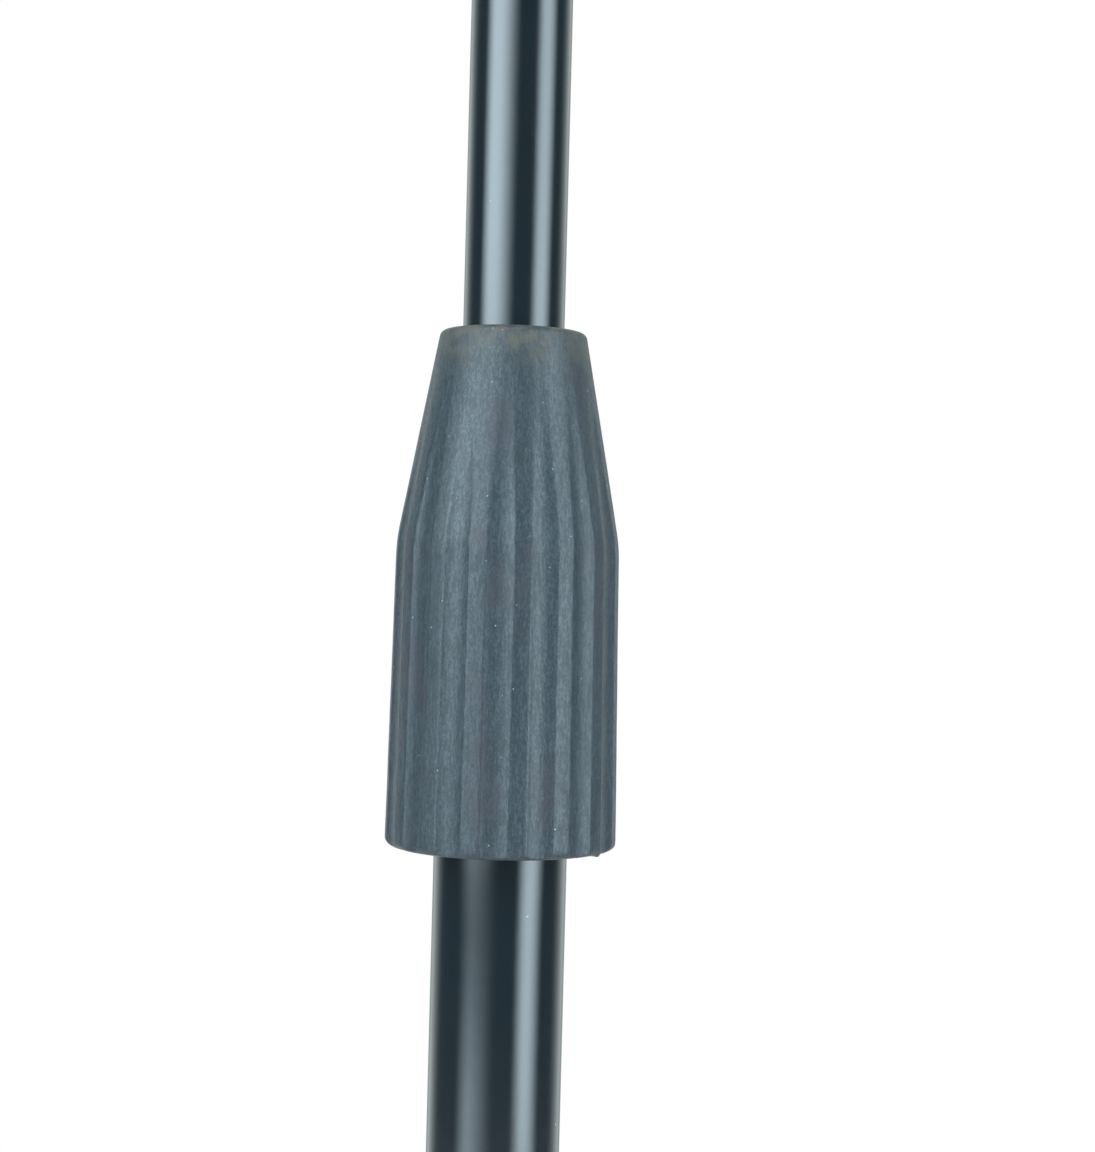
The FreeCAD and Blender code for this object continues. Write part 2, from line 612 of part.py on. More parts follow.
def clutch_nut():
    thread_r = THREAD_R + THREAD_CLEARANCE
    thread_low, thread_high = TUBE_IN_GRIP + NUT_THREAD_START, THREAD_TOP + NUT_RELIEF
    mouth_z = NUT_TOP - NUT_WALL_UNDER_MOUTH
    (root_r, root_z), (nose_r, _) = collet_profile()
    inside = [
        (UPPER_TUBE_R + SLIDING, NUT_TOP),
        (UPPER_TUBE_R + SLIDING, mouth_z),
        (nose_r + CONE_CLEARANCE, mouth_z),
        (root_r + CONE_CLEARANCE, root_z),
        (root_r + CONE_CLEARANCE, thread_high),
        (thread_r, thread_high),
        (thread_r, thread_low),
        (NUT_BORE_R, thread_low),
        (NUT_BORE_R, NUT_LOW),
    ]
    return turned(nut_outline() + inside).translated(Vector(0, 0, GRIP_Z))


def flute_cutter(low_r, low_z, high_r, high_z):
    """Cylinder whose deepest line runs between two points of the +X profile, with its ends run on."""
    low, high = Vector(low_r, 0, low_z), Vector(high_r, 0, high_z)
    along = (high - low).normalize()
    outward = Vector(along.z, 0, -along.x)
    start = low - along * FLUTE_RUN_ON + outward * FLUTE_R
    return rod(FLUTE_R, start, along, (high - low).Length + 2 * FLUTE_RUN_ON)


def clutch_grip():
    """Ribbed rubber sleeve: a slight taper, a shoulder, a cone, and flutes that run out up the cone."""
    side = [(GRIP_BOTTOM_R, 0), (GRIP_SHOULDER_R, GRIP_SHOULDER), (GRIP_TOP_R, GRIP_HEIGHT)]
    outside = turned([(0, 0)] + side + [(0, GRIP_HEIGHT)])
    outside = outside.makeFillet(GRIP_SHOULDER_FILLET, edges_at(outside, z=GRIP_SHOULDER))
    for z in (0, GRIP_HEIGHT):
        outside = outside.makeFillet(GRIP_RIM_FILLET, edges_at(outside, z=z))
    run_out_r = GRIP_TOP_R + (GRIP_SHOULDER_R - GRIP_TOP_R) * FLUTE_RUN_OUT / GRIP_CONE
    shoulder_floor = GRIP_SHOULDER_R - FLUTE_DEPTH
    cutters = []
    for i in range(FLUTES):
        azimuth = -90.0 + FLUTE_PHASE + 360.0 * i / FLUTES
        straight = flute_cutter(GRIP_BOTTOM_R - FLUTE_DEPTH, 0, shoulder_floor, GRIP_SHOULDER)
        sloping = flute_cutter(shoulder_floor, GRIP_SHOULDER, run_out_r, FLUTE_TOP)
        cutters += [around(straight, azimuth), around(sloping, azimuth)]
    foot_r, mouth_r = NUT_BORE_R + NUT_CLEARANCE, UPPER_TUBE_R + GRIP_MOUTH_GAP
    foot = [(0, 0), (foot_r, 0), (foot_r, NUT_LOW)]
    mouth = [(mouth_r, NUT_TOP), (mouth_r, GRIP_HEIGHT), (0, GRIP_HEIGHT)]
    inside = turned(foot + nut_outline() + mouth)
    return outside.cut(cutters).cut(inside).translated(Vector(0, 0, GRIP_Z))


# Tilting head, drawn with the desk upright and then tilted about the pivot


def tilted(shape):
    return shape.rotated(Vector(0, 0, TILT_PIVOT_Z), X_AXIS, -DESK_TILT)


def across(radius, start_x, end_x):
    """Cylinder along X on the tilt pivot."""
    return rod(radius, Vector(start_x, 0, TILT_PIVOT_Z), X_AXIS, end_x - start_x)


def tilt_head():
    low = UPPER_TUBE_TOP - HEAD_SOCKET
    top = UPPER_TUBE_TOP + HEAD_CAP
    socket = rod(HEAD_R, Vector(0, 0, low), Z_AXIS, top - low)
    for z in (low, top):
        socket = socket.makeFillet(HEAD_FILLET, edges_at(socket, z=z))
    half = HEAD_TONGUE / 2
    web_y = math.sqrt((HEAD_R - HEAD_FILLET) ** 2 - half**2)
    web = box((-half, -web_y, top - HEAD_CAP), (half, web_y, TILT_PIVOT_Z))
    nose = across(HEAD_TONGUE_R, -half, half)
    for x in (-half, half):
        nose = nose.makeFillet(HEAD_FILLET, edges_at(nose, x=x))
    body = joined([socket, web, nose])
    body = body.cut(across(TILT_BOLT_R + RUNNING, -HEAD_TONGUE, HEAD_TONGUE))
    body = body.cut(rod(UPPER_TUBE_R, Vector(0, 0, low), Z_AXIS, HEAD_SOCKET))
    return body.cut(set_screw_blank())


def set_screw_blank():
    start = Vector(0, UPPER_TUBE_R, UPPER_TUBE_TOP - HEAD_SOCKET / 2)
    return rod(SET_SCREW_R, start, Y_AXIS, HEAD_WALL + SET_SCREW_PROUD)


def head_set_screw():
    blank = set_screw_blank()
    outer = Vector(0, blank.BoundBox.YMax - SET_SCREW_KEY_DEPTH, blank.BoundBox.Center.z)
    return blank.cut(rod(SET_SCREW_KEY_R, outer, Y_AXIS, SET_SCREW_KEY_DEPTH))


def desk_bracket():
    """Steel clevis: a plate on the back of the desk, and two ears that hold the tilt bolt."""
    plate_y = -DESK_BACK
    half_w, half_h = BRACKET_WIDTH / 2, BRACKET_HEIGHT / 2
    low, high = TILT_PIVOT_Z - half_h, TILT_PIVOT_Z + half_h
    plate = box((-half_w, plate_y, low), (half_w, plate_y + BRACKET_SHEET, high))
    corners = [e for x in (-half_w, half_w) for z in (low, high) for e in edges_at(plate, x=x, z=z)]
    plate = plate.makeFillet(BRACKET_CORNER_R, corners)
    ears = []
    for side in (-1, 1):
        x0, x1 = sorted((side * EAR_INNER_X, side * EAR_OUTER_X))
        side_view = [
            (plate_y, TILT_PIVOT_Z - half_h + BRACKET_CORNER_R),
            (0, TILT_PIVOT_Z - HEAD_TONGUE_R),
            (0, TILT_PIVOT_Z + HEAD_TONGUE_R),
            (plate_y, TILT_PIVOT_Z + half_h - BRACKET_CORNER_R),
        ]
        outline = [Vector(x0, y, z) for y, z in side_view]
        ear = Part.Face(Part.makePolygon(outline + outline[:1])).extrude(Vector(x1 - x0, 0, 0))
        ears += [ear, across(HEAD_TONGUE_R, x0, x1)]
    body = joined([plate] + ears).cut(across(TILT_BOLT_R, -half_w, half_w))
    for x, z in desk_bolt_places():
        body = body.cut(rod(DESK_BOLT_R, Vector(x, plate_y, z), Y_AXIS, BRACKET_SHEET))
    return tilted(body)


def tilt_washers():
    washers = []
    for side in (-1, 1):
        x0, x1 = sorted((side * (EAR_INNER_X - TILT_WASHER), side * EAR_INNER_X))
        washers.append(across(TILT_WASHER_R, x0, x1).cut(across(TILT_BOLT_R, x0, x1)))
    return Part.makeCompound(washers)


def tilt_bolt():
    """Round-headed bolt; its square neck holds it in the ear."""
    shank = across(TILT_BOLT_R, -EAR_OUTER_X, EAR_OUTER_X + FLAT_WASHER + BOLT_IN_KNOB)
    head = dome(BOLT_HEAD_R, BOLT_HEAD_H, Vector(-EAR_OUTER_X, 0, TILT_PIVOT_Z), -X_AXIS)
    return joined([shank, head])


def tilt_flat_washer():
    inner, outer = EAR_OUTER_X, EAR_OUTER_X + FLAT_WASHER
    return across(FLAT_WASHER_R, inner, outer).cut(across(TILT_BOLT_R, inner, outer))


def tilt_knob():
    start = EAR_OUTER_X + FLAT_WASHER + FACE_GAP
    knob = lobed_knob(Vector(start, 0, TILT_PIVOT_Z), X_AXIS)
    return knob.cut(across(KNOB_INSERT_R, start, start + BOLT_IN_KNOB))


def tilt_knob_insert():
    """Brass insert moulded in the knob, with its thread drawn as a plain bore."""
    start = EAR_OUTER_X + FLAT_WASHER + FACE_GAP
    end = start + BOLT_IN_KNOB
    return across(KNOB_INSERT_R, start, end).cut(across(TILT_BOLT_R + RUNNING, start, end))


# Desk


def desk_bolt_places():
    """(x, z) of the four bolts that hold the bracket, with the desk upright."""
    x = BRACKET_WIDTH / 2 - DESK_BOLT_INSET
    dz = BRACKET_HEIGHT / 2 - DESK_BOLT_INSET
    return [(sx * x, TILT_PIVOT_Z + sz * dz) for sx in (-1, 1) for sz in (-1, 1)]


def desk_hole_places():
    """(x, z) of the staggered round holes, clear of the bracket."""
    low, high = TILT_PIVOT_Z - DESK_DOWN, TILT_PIVOT_Z + DESK_UP
    reach_x = DESK_WIDTH / 2 - HOLE_MARGIN
    rows = int((high - low - 2 * HOLE_MARGIN) / HOLE_PITCH_Z) + 1
    first_z = (low + high) / 2 - (rows - 1) * HOLE_PITCH_Z / 2
    places = []
    for row in range(rows):
        z = first_z + row * HOLE_PITCH_Z
        count = int(2 * reach_x / HOLE_PITCH_X) + 1 - row % 2
        for i in range(count):
            x = (i - (count - 1) / 2) * HOLE_PITCH_X
            clear = HOLE_R + HOLE_CLEAR
            beside = abs(x) >= BRACKET_WIDTH / 2 + clear
            if beside or abs(z - TILT_PIVOT_Z) >= BRACKET_HEIGHT / 2 + clear:
                places.append((x, z))
    return places


def ledge_rivet_places():
    """(x, z) of the rivets through desk and ledge, with the desk upright."""
    z = TILT_PIVOT_Z - DESK_DOWN + LEDGE_FLANGE / 2
    pitch = DESK_WIDTH / LEDGE_RIVETS
    return [((i - (LEDGE_RIVETS - 1) / 2) * pitch, z) for i in range(LEDGE_RIVETS)]


def desk_panel():
    """Sheet with flanges turned back along the top and sides, and round holes."""
    half = DESK_WIDTH / 2
    low, high = TILT_PIVOT_Z - DESK_DOWN, TILT_PIVOT_Z + DESK_UP
    front, back = -DESK_FRONT, -DESK_BACK + DESK_FLANGE
    block = box((-half, front, low), (half, back, high))
    corners = edges_at(block, x=-half, z=high) + edges_at(block, x=half, z=high)
    block = block.makeFillet(DESK_CORNER_R, corners)
    rim = [e for e in block.Edges if e.BoundBox.YMax < front + 0.01 and e.BoundBox.ZMax > low + 0.01]
    block = block.makeFillet(DESK_EDGE_R, rim)
    t = DESK_SHEET
    inner = box((-half + t, front + t, low - t), (half - t, back + t, high - t))
    top_corners = edges_at(inner, x=-half + t, z=high - t) + edges_at(inner, x=half - t, z=high - t)
    inner = inner.makeFillet(DESK_CORNER_R - t, top_corners)
    inner_rim = [e for e in inner.Edges if e.BoundBox.YMax < front + t + 0.01 and e.BoundBox.ZMax > low]
    inner = inner.makeFillet(DESK_EDGE_R - t, inner_rim)
    sheet = block.cut(inner)
    holes = [(x, z, HOLE_R) for x, z in desk_hole_places()]
    holes += [(x, z, DESK_BOLT_R) for x, z in desk_bolt_places()]
    holes += [(x, z, LEDGE_RIVET_R) for x, z in ledge_rivet_places()]
    drills = [rod(r, Vector(x, front - t, z), Y_AXIS, 3 * t) for x, z, r in holes]
    return tilted(sheet.cut(Part.makeCompound(drills)))


def desk_ledge():
    """Shelf under the desk: a flange behind the sheet, a floor, and a lip with a rolled edge."""
    half = DESK_WIDTH / 2
    t = DESK_SHEET
    inset = t + LEDGE_SIDE_GAP  # the flange stays between the desk's own side flanges
    back = -DESK_BACK
    floor = TILT_PIVOT_Z - DESK_DOWN
    lip = -DESK_FRONT - LEDGE_DEPTH
    side = [
        (back + t, floor + LEDGE_FLANGE),
        (back, floor + LEDGE_FLANGE),
        (back, floor),
        (lip, floor),
        (lip, floor + LEDGE_LIP),
        (lip - t, floor + LEDGE_LIP),
        (lip - t, floor - t),
        (back + t, floor - t),
    ]
    corners = [Vector(-half, y, z) for y, z in side]
    body = Part.Face(Part.makePolygon(corners + corners[:1])).extrude(Vector(DESK_WIDTH, 0, 0))
    inner = edges_at(body, y=lip, z=floor)
    outer = edges_at(body, y=lip - t, z=floor - t) + edges_at(body, y=back + t, z=floor - t)
    body = body.makeFillet(LEDGE_BEND_R, inner).makeFillet(LEDGE_BEND_R + t, outer)
    bead = Vector(-half, lip - t + LEDGE_BEAD_R, floor + LEDGE_LIP)
    body = joined([body, rod(LEDGE_BEAD_R, bead, X_AXIS, DESK_WIDTH)])
    keep_low = floor + LEDGE_BEND_R + t
    for side_x in (-1, 1):
        x = side_x * half
        block = box((-LEDGE_END_R, lip - 3 * t, 0), (LEDGE_END_R, lip + 3 * t, 2 * LEDGE_END_R))
        centre = Vector(x - side_x * LEDGE_END_R, 0, floor + LEDGE_LIP + LEDGE_BEAD_R - LEDGE_END_R)
        round_off = rod(LEDGE_END_R, Vector(centre.x, lip - 4 * t, centre.z), Y_AXIS, 8 * t)
        block = block.translated(Vector(centre.x + side_x * LEDGE_END_R, 0, max(centre.z, keep_low)))
        body = body.cut(block.cut(round_off))
    for x, z in ledge_rivet_places():
        body = body.cut(rod(LEDGE_RIVET_R, Vector(x, back - t, z), Y_AXIS, 3 * t))
    for low_x, high_x in ((-half, inset - half), (half - inset, half)):
        body = body.cut(box((low_x, back, floor), (high_x, back + t, floor + LEDGE_FLANGE)))
    return tilted(body)


def ledge_rivets():
    rivets = []
    for x, z in ledge_rivet_places():
        front, back = Vector(x, -DESK_FRONT, z), Vector(x, -DESK_BACK + DESK_SHEET, z)
        parts = [
            rod(LEDGE_RIVET_R, front, Y_AXIS, 2 * DESK_SHEET),
            dome(LEDGE_RIVET_HEAD_R, LEDGE_RIVET_HEAD_H, front, -Y_AXIS),
            dome(LEDGE_RIVET_HEAD_R, LEDGE_RIVET_HEAD_H, back, Y_AXIS),
        ]
        rivets.append(joined(parts))
    return tilted(Part.makeCompound(rivets))


def desk_bolts():
    bolts = []
    length = DESK_SHEET + BRACKET_SHEET + DESK_NUT_H + DESK_BOLT_PAST_NUT
    for x, z in desk_bolt_places():
        front = Vector(x, -DESK_FRONT, z)
        head = dome(DESK_BOLT_HEAD_R, DESK_BOLT_HEAD_H, front, -Y_AXIS)
        bolts.append(joined([rod(DESK_BOLT_R, front, Y_AXIS, length), head]))
    return tilted(Part.makeCompound(bolts))


def desk_nuts():
    nuts = []
    start_y = -DESK_BACK + BRACKET_SHEET
    for x, z in desk_bolt_places():
        corners = [
            Vector(x + DESK_NUT_R * math.cos(a), start_y, z + DESK_NUT_R * math.sin(a))
            for a in [math.radians(60 * i) for i in range(7)]
        ]
        nut = Part.Face(Part.makePolygon(corners)).extrude(Vector(0, DESK_NUT_H, 0))
        nuts.append(nut.cut(rod(DESK_BOLT_R, Vector(x, start_y, z), Y_AXIS, DESK_NUT_H)))
    return tilted(Part.makeCompound(nuts))


def pieces():
    """Every piece by its node name, in place."""
    made = {
        "lower_tube": lower_tube(),
        "base_hub": hub(),
        "hub_screw": hub_screw(),
        "foot_plug": foot_plug(),
        "hub_pivot_pins": hub_pins(),
        "leg_collar": collar(),
        "collar_insert": collar_insert(),
        "clamp_pad": clamp_pad(),
        "clamp_stud": clamp_stud(),
        "clamp_knob": clamp_knob(),
        "clutch_body": clutch_body(),
        "clutch_collet": collet(),
        "clutch_nut": clutch_nut(),
        "clutch_grip": clutch_grip(),
        "upper_tube": upper_tube(),
        "end_plug": end_plug(),
        "guide_ring": guide_ring(),
        "stop_sleeve": stop_sleeve(),
        "tilt_head": tilt_head(),
        "head_set_screw": head_set_screw(),
        "tilt_washers": tilt_washers(),
        "tilt_bolt": tilt_bolt(),
        "tilt_flat_washer": tilt_flat_washer(),
        "tilt_knob": tilt_knob(),
        "tilt_knob_insert": tilt_knob_insert(),
        "desk_bracket": desk_bracket(),
        "desk_bolts": desk_bolts(),
        "desk_nuts": desk_nuts(),
        "desk_panel": desk_panel(),
        "desk_ledge": desk_ledge(),
        "ledge_rivets": ledge_rivets(),
    }
    collar_rivet = leg_frame(cross_rivet(0, FACE_GAP))
    brace_rivet = leg_frame(cross_rivet(BRACE_LENGTH, 0))
    made["leg_pivot_rivets"] = Part.makeCompound([around(collar_rivet, a) for a in LEG_AZIMUTHS.values()])
    for name, azimuth in LEG_AZIMUTHS.items():
        made[f"leg_{name}"] = around(leg_frame(leg()), azimuth)
        made[f"brace_{name}"] = around(brace_frame(brace()), azimuth)
        made[f"foot_{name}"] = around(foot(), azimuth)
        made[f"brace_rivet_{name}"] = around(brace_rivet, azimuth)
    return made


def main():
    os.makedirs("parts", exist_ok=True)
    for name, shape in pieces().items():
        shape.exportStep(f"parts/{name}.step")


main()
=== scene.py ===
"""Looks of the music stand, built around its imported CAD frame.

Blender works in metres. The sizes below are in millimetres unless a comment says otherwise.
"""

import json
import math

import bmesh
import bpy
from mathutils import Matrix, Vector, noise


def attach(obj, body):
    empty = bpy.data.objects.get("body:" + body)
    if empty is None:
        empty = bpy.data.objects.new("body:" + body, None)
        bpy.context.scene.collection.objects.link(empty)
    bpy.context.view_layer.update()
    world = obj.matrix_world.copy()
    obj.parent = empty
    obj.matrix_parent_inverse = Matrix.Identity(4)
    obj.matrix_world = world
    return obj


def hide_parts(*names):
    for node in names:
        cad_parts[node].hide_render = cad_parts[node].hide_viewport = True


MM = 0.001

# Column, as in part.py
LOWER_TUBE = {"outer": 12.5, "bore": 11.0, "low": 18.0, "high": 643.0}
UPPER_TUBE = {"outer": 9.5, "bore": 8.3, "low": 328.0, "high": 1008.0}
TUBE_EDGE = 0.35  # rounding of a cut tube's rim
TUBE_SEGMENTS = 192
TUBE_RIM_STEPS = 4
TUBE_RING_GAP = 60.0  # longest run between two rings of vertices

# Grip, as in part.py; heights from its lower rim
GRIP_Z = 606.1
GRIP_HEIGHT = 96.1
GRIP_SHOULDER = 56.7
GRIP_BOTTOM_R = 21.7
GRIP_SHOULDER_R = 20.87
GRIP_TOP_R = 13.6
GRIP_RIM = 1.4
GRIP_SHOULDER_FILLET = 34.0
GRIP_TOP_BORE_R = 10.2
GRIP_LOW_BORE_R = 16.3
FLUTES = 16
FLUTE_R = 6.8
FLUTE_DEPTH = 0.64
FLUTE_TOP = 81.9

# Nut inside the grip, as in part.py; heights from the grip's lower rim
NUT_R = 18.0
NUT_TOP_R = 12.2
NUT_LOW = 3.0
NUT_SHOULDER = 54.7
NUT_TOP = 92.9

# Grip's mesh
FLUTE_PHASE = 20.0  # degrees from the camera's side to the middle of the first flute
FLUTE_SOFT_LOW = 0.09  # rounding of a flute's edge, up to the shoulder
FLUTE_SOFT_TOP = 0.30  # the same at the flute's top
FLUTE_COLUMNS = (0.0, 0.16, 0.32, 0.48, 0.64, 0.78, 0.89, 0.96, 1.0)  # of a flute's half width
LAND_COLUMNS = (0.05, 0.14, 0.32, 0.55, 0.78, 0.92)  # of the land between two flutes
FLUTE_NARROWEST = 0.35  # least share of the pitch that a flute's columns take
FLUTE_WIDEST = 0.8  # and the most
GRIP_ROUND_STEPS = 8
GRIP_RING_GAP = 1.2
GRIP_INSIDE_GAP = 12.0
BROAD_WAVE = (0.035, 0.16)  # unevenness of the moulding: height, and noise cells per millimetre
FINE_WAVE = (0.012, 0.6)
FINE_WAVE_SHIFT = (9, 4, 1)

# Speck of moulding flash on the grip's lower rim; its turn is in degrees from the X axis
NUB_TURN = -31.0
NUB_RADIUS = 20.8
NUB_HEIGHT = 0.3
NUB_SIZE = 0.5
NUB_LENGTH = 0.8

# Camera; angles in degrees
CAMERA_PLACE = (7.5, -386.0, 658.8)
CAMERA_LENS = 64.375
CAMERA_SENSOR = 36.0
CAMERA_NEAREST = 10.0
CAMERA_ROLL = 1.5
CAMERA_DIP = 0.306

# Studio that the surfaces reflect. Angles are in degrees: azimuths from the camera's side, positive to its
# right, and elevations from the horizon. A panel's sides are two azimuths, given low down and high up.
# A level is two angles and the value at each, with a smooth step between them.
LEFT_PANEL = {"low": (-57, -24), "high": (-72, -23), "soft": (15, 26)}
RIGHT_PANEL = {"low": (39, 69), "high": (45, 79), "soft": (12, 15)}
PANEL_LEAN = (-10, 8)  # elevations between which a panel's sides go from low to high
PANEL_END = (66, 46)  # elevations of its upper end, from dark to full
PANEL_TINT = (0.73, 0.90, 1.0)
LEFT_LEVEL = (-8.5, 10, 1.0, 7.0)
LEFT_FALL = (12, 27, 1.0, 0.78)
LEFT_LOW_LEVEL = (-9.5, -19, 0.0, 3.4)
RIGHT_LEVEL = (3, 24, 5.6, 4.9)
SIDES_LEVEL = (104, 144, 0.0, 0.80)
BEHIND_SHARE = (146, 162, 0.0, 1.0)
BEHIND_LOSS = (16, 30, 0.45, -1.3)  # a negative loss is a gain
ABOVE_LEVEL = (35, 70, 0.0, 0.60)
STUDIO_DARK = (0.080, 0.122, 0.138)
STUDIO_PALE = (0.90, 1.0, 0.98)
WHITE = (1.0, 1.0, 1.0)

# Floor and lamp, in metres and watts
FLOOR_RADIUS = 1.75
FLOOR_SEGMENTS = 128
FLOOR_DROP = 0.0003
FLOOR_DARK = (0.62, 0.55, 0.525)
FLOOR_LIGHT = (0.66, 0.59, 0.56)
FLOOR_FADE = (0.55, 0.97)  # shares of the radius between which the floor fades to white
LAMP_POWER = 26.0
LAMP_SIZE = (1.6, 1.2)
LAMP_PLACE = (-0.5, -0.6, 2.6)
LAMP_AIM = (0, 0, 0.6)

# Materials
EVEN = (1, 1, 1)  # a stretch that changes nothing
SPOT_CORE = 0.55  # share of a speck's radius that has its full colour
EDGE_LIKENESS = (0.985, 0.90)  # of the rounded and the true normal, from no edge to a full one
EDGE_SAMPLES = 6
RIM_DUST = (85.5, 95.8)  # heights on the grip between which its dust grows
SCUFF = (13, 1)  # heights on a foot between which its scuffs grow

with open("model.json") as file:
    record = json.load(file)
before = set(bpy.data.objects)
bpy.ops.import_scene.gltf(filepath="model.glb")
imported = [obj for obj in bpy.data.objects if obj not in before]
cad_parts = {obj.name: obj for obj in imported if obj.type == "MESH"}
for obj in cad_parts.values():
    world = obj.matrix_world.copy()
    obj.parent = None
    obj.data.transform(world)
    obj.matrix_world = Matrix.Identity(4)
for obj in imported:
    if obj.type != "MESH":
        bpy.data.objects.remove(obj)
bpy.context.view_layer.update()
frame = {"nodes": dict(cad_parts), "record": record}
nodes = frame["nodes"]
scene = bpy.context.scene
scene.view_settings.view_transform = "Standard"


# Camera, world, lights and floor


def make_camera():
    data = bpy.data.cameras.new("camera")
    data.lens = CAMERA_LENS
    data.sensor_width = CAMERA_SENSOR
    data.clip_start = CAMERA_NEAREST * MM
    camera = bpy.data.objects.new("camera", data)
    pitch = Matrix.Rotation(math.radians(90.0 - CAMERA_DIP), 4, "X")
    roll = Matrix.Rotation(math.radians(CAMERA_ROLL), 4, "Z")
    camera.matrix_world = Matrix.Translation(Vector(CAMERA_PLACE) * MM) @ pitch @ roll
    scene.collection.objects.link(camera)
    scene.camera = camera


class Shader:
    """A node tree with short ways to add nodes. Each input takes a value or another node's socket."""

    def __init__(self, owner):
        owner.use_nodes = True
        self.tree = owner.node_tree
        self.tree.nodes.clear()

    def add(self, kind, inputs=(), **settings):
        node = self.tree.nodes.new(kind)
        for key, value in settings.items():
            setattr(node, key, value)
        for key, value in dict(inputs).items():
            if isinstance(value, bpy.types.NodeSocket):
                self.tree.links.new(value, node.inputs[key])
            else:
                node.inputs[key].default_value = value
        return node

    def math(self, operation, a, b=0.0):
        return self.add("ShaderNodeMath", {0: a, 1: b}, operation=operation).outputs[0]

    def plus(self, a, b):
        return self.math("ADD", a, b)

    def minus(self, a, b):
        return self.math("SUBTRACT", a, b)

    def times(self, a, b):
        return self.math("MULTIPLY", a, b)

    def ramp(self, value, low, high, out_low=0.0, out_high=1.0):
        """A smooth step from low to high, or downwards where low is above high."""
        if low > high:
            low, high, out_low, out_high = high, low, out_high, out_low
        inputs = {0: value, 1: low, 2: high, 3: out_low, 4: out_high}
        return self.add("ShaderNodeMapRange", inputs, interpolation_type="SMOOTHSTEP").outputs[0]

    def turn_ramp(self, angle, low, high, out_low=0.0, out_high=1.0):
        """The same step over an angle, between two limits in degrees."""
        return self.ramp(angle, math.radians(low), math.radians(high), out_low, out_high)

    def mix(self, factor, a, b):
        """Colour a where the factor is 0, and b where it is 1 or more."""
        colours = {6: a, 7: b}
        for key, value in colours.items():
            if not isinstance(value, bpy.types.NodeSocket):
                colours[key] = (*value, 1.0)
        return self.add("ShaderNodeMix", {0: factor, **colours}, data_type="RGBA").outputs[2]


def panel_mask(s, azimuth, rise, low, high, soft):
    """Mask of an upright panel between two azimuths. Each side's softness is in degrees too."""
    level = s.turn_ramp(rise, *PANEL_LEAN)
    sides = []
    for low_side, high_side in zip(low, high):
        lean = s.times(level, math.radians(high_side - low_side))
        sides.append(s.plus(lean, math.radians(low_side)))
    start, end = sides
    after_start = s.turn_ramp(s.minus(azimuth, start), -soft[0], soft[0])
    before_end = s.turn_ramp(s.minus(end, azimuth), -soft[1], soft[1])
    return s.times(s.times(after_start, before_end), s.turn_ramp(rise, *PANEL_END))


def make_world():
    """White to the camera; in reflections dark in front and pale behind, with two soft upright panels."""
    world = bpy.data.worlds.new("studio")
    scene.world = world
    s = Shader(world)
    direction = s.add("ShaderNodeTexCoord").outputs["Generated"]
    x, y, z = s.add("ShaderNodeSeparateXYZ", {0: direction}).outputs
    azimuth = s.math("ARCTAN2", x, s.times(y, -1.0))
    rise = s.math("ARCSINE", z)

    left_high = s.times(s.turn_ramp(rise, *LEFT_LEVEL), s.turn_ramp(rise, *LEFT_FALL))
    left_level = s.plus(left_high, s.turn_ramp(rise, *LEFT_LOW_LEVEL))
    left = s.times(panel_mask(s, azimuth, rise, **LEFT_PANEL), left_level)
    right = s.times(panel_mask(s, azimuth, rise, **RIGHT_PANEL), s.turn_ramp(rise, *RIGHT_LEVEL))
    panels = s.add("ShaderNodeVectorMath", {0: PANEL_TINT, "Scale": s.plus(left, right)}, operation="SCALE")

    turned = s.math("ABSOLUTE", azimuth)
    loss = s.times(s.turn_ramp(turned, *BEHIND_SHARE), s.turn_ramp(rise, *BEHIND_LOSS))
    around = s.minus(s.turn_ramp(turned, *SIDES_LEVEL), loss)
    above = s.turn_ramp(rise, *ABOVE_LEVEL)
    rest = s.mix(s.math("MAXIMUM", around, above), STUDIO_DARK, STUDIO_PALE)

    light = s.add("ShaderNodeVectorMath", {0: panels.outputs[0], 1: rest}).outputs[0]
    seen = s.add("ShaderNodeLightPath").outputs["Is Camera Ray"]
    background = s.add("ShaderNodeBackground", {"Color": s.mix(seen, light, WHITE)})
    s.add("ShaderNodeOutputWorld", {0: background.outputs[0]})


def make_floor():
    """Pale round floor that fades to the white around it."""
    mesh = bpy.data.meshes.new("floor")
    b = bmesh.new()
    bmesh.ops.create_circle(b, cap_ends=True, segments=FLOOR_SEGMENTS, radius=FLOOR_RADIUS)
    b.to_mesh(mesh)
    b.free()
    floor = bpy.data.objects.new("floor", mesh)
    floor.location.z = -FLOOR_DROP
    scene.collection.objects.link(floor)
    material = bpy.data.materials.new("pale_floor")
    s = Shader(material)
    place = s.add("ShaderNodeTexCoord").outputs["Object"]
    reach = s.add("ShaderNodeVectorMath", {0: place}, operation="LENGTH").outputs["Value"]
    cloud = s.add("ShaderNodeTexNoise", {"Vector": place, "Scale": 6.0, "Detail": 3.0}).outputs[0]
    matt = s.add("ShaderNodeBsdfDiffuse", {"Color": s.mix(cloud, FLOOR_DARK, FLOOR_LIGHT)}).outputs[0]
    glow = s.add("ShaderNodeEmission", {"Color": (*WHITE, 1.0), "Strength": 1.0}).outputs[0]
    edge = s.ramp(reach, *(share * FLOOR_RADIUS for share in FLOOR_FADE))
    blend = s.add("ShaderNodeMixShader", {0: edge, 1: matt, 2: glow}).outputs[0]
    s.add("ShaderNodeOutputMaterial", {0: blend})
    mesh.materials.append(material)


